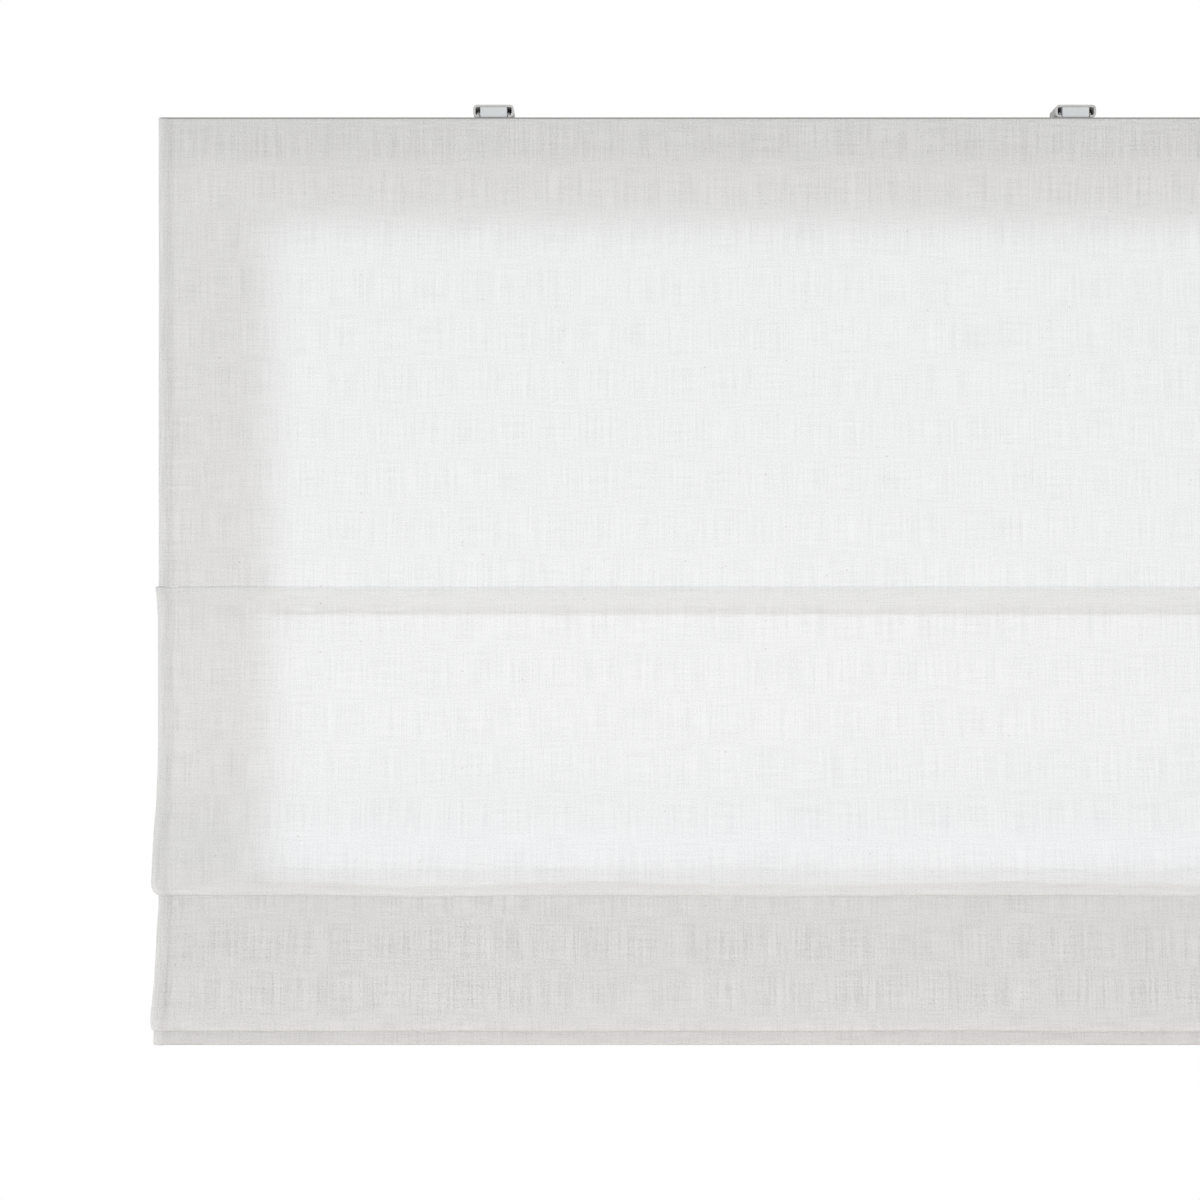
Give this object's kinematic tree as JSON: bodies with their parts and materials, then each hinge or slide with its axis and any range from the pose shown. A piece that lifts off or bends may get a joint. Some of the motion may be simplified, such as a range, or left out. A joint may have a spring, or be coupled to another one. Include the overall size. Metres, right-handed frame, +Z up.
{
  "type": "roman blind",
  "caption": "Cordless roman blind: one folded linen-look cloth with rods in sewn tucks, hung on an aluminium headrail with release brackets and a spring winding shaft, part raised.",
  "frame": {"origin": "midway between the four wall screw holes of the two brackets, on the wall plane", "axes": "+X along the width to the viewer's right, +Y into the wall, +Z up"},
  "size_m": [1, 0.0611, 0.7503],
  "materials": {
    "bracket_steel": "grey powder coat, satin",
    "latch_plastic": "light grey moulded",
    "spring_steel": "bright rolled strip",
    "white_plastic": "white moulded",
    "rod_fibreglass": "white glass-fibre rod",
    "guide_plastic": "translucent white moulded",
    "rail_aluminium": "satin anodised",
    "tape_hook": "white hook tape",
    "tape_loop": "white loop tape",
    "shaft_steel": "zinc plated square bar",
    "drum_plastic": "grey moulded",
    "housing_plastic": "white moulded",
    "linen_cloth": "off-white open slub weave, lets light through",
    "bar_aluminium": "mill finish flat bar"
  },
  "bodies": {
    "headrail": {"bracket_left": "bracket_steel", "latch_spring_left": "spring_steel", "end_cap_left": "white_plastic", "cord_outlet_left": "white_plastic", "spool_cradle_left": "white_plastic", "bracket_right": "bracket_steel", "latch_spring_right": "spring_steel", "end_cap_right": "white_plastic", "cord_outlet_right": "white_plastic", "spool_cradle_right": "white_plastic", "headrail": "rail_aluminium", "rail_hook_tape": "tape_hook", "fabric_loop_tape": "tape_loop", "spring_housing": "housing_plastic", "flat_spring": "spring_steel", "fabric": "linen_cloth"},
    "latch_left": {"bracket_latch_left": "latch_plastic"},
    "latch_right": {"bracket_latch_right": "latch_plastic"},
    "shaft": {"drive_shaft": "shaft_steel", "cord_spool_left": "white_plastic", "cord_spool_right": "white_plastic", "spring_output_drum": "drum_plastic"},
    "storage_drum": {"spring_storage_drum": "drum_plastic"},
    "lift_1": {"rod_1": "rod_fibreglass", "rod_1_cord_guides": "guide_plastic"},
    "lift_2": {"rod_2": "rod_fibreglass", "rod_2_cord_guides": "guide_plastic"},
    "lift_3": {"rod_3": "rod_fibreglass", "rod_3_cord_guides": "guide_plastic"},
    "lift_4": {"rod_4": "rod_fibreglass", "rod_4_cord_guides": "guide_plastic"},
    "lift_5": {"rod_5": "rod_fibreglass", "rod_5_cord_guides": "guide_plastic", "bottom_bar": "bar_aluminium", "bottom_bar_cap_left": "white_plastic", "bottom_bar_cap_right": "white_plastic"}
  },
  "joints": [
    {"name": "rod_1_lift", "type": "slide", "parent": "headrail", "child": "lift_1", "axis": [0, 0, 1], "range_m": [0, 0.34], "deforming": ["fabric"]},
    {"name": "stack_lift", "type": "slide", "parent": "lift_1", "child": "lift_2", "axis": [0, 0, 1], "range_m": [-0.05, 0.196], "deforming": ["fabric"]},
    {"name": "rod_3_drop", "type": "slide", "parent": "lift_2", "child": "lift_3", "axis": [0, 0, 1], "range_m": [-0.254, 0], "deforming": ["fabric"]},
    {"name": "rod_4_drop", "type": "slide", "parent": "lift_3", "child": "lift_4", "axis": [0, 0, 1], "range_m": [-0.245, 0], "deforming": ["fabric"]},
    {"name": "rod_5_drop", "type": "slide", "parent": "lift_4", "child": "lift_5", "axis": [0, 0, 1], "range_m": [-0.236, 0], "deforming": ["fabric"]},
    {"name": "shaft_turn", "type": "hinge", "parent": "headrail", "child": "shaft", "pos_m": [0, -0.017, -0.0081], "axis": [1, 0, 0], "range_deg": [-3760, 6145]},
    {"name": "storage_drum_turn", "type": "hinge", "parent": "headrail", "child": "storage_drum", "pos_m": [0, -0.017, 0.0079], "axis": [1, 0, 0], "range_deg": [-4302, 2632], "deforming": ["flat_spring"]},
    {"name": "latch_left_press", "type": "slide", "parent": "headrail", "child": "latch_left", "axis": [0, 1, 0], "range_m": [0, 0.0032], "stiffness_N_per_m": 900, "springref_m": -0.002, "deforming": ["latch_spring_left"]},
    {"name": "latch_right_press", "type": "slide", "parent": "headrail", "child": "latch_right", "axis": [0, 1, 0], "range_m": [0, 0.0032], "stiffness_N_per_m": 900, "springref_m": -0.002, "deforming": ["latch_spring_right"]}
  ],
  "couplings": [
    {"joint": "shaft_turn", "follows": "stack_lift", "rad_per_m": -125},
    {"joint": "storage_drum_turn", "follows": "stack_lift", "rad_per_m": 87.5}
  ]
}
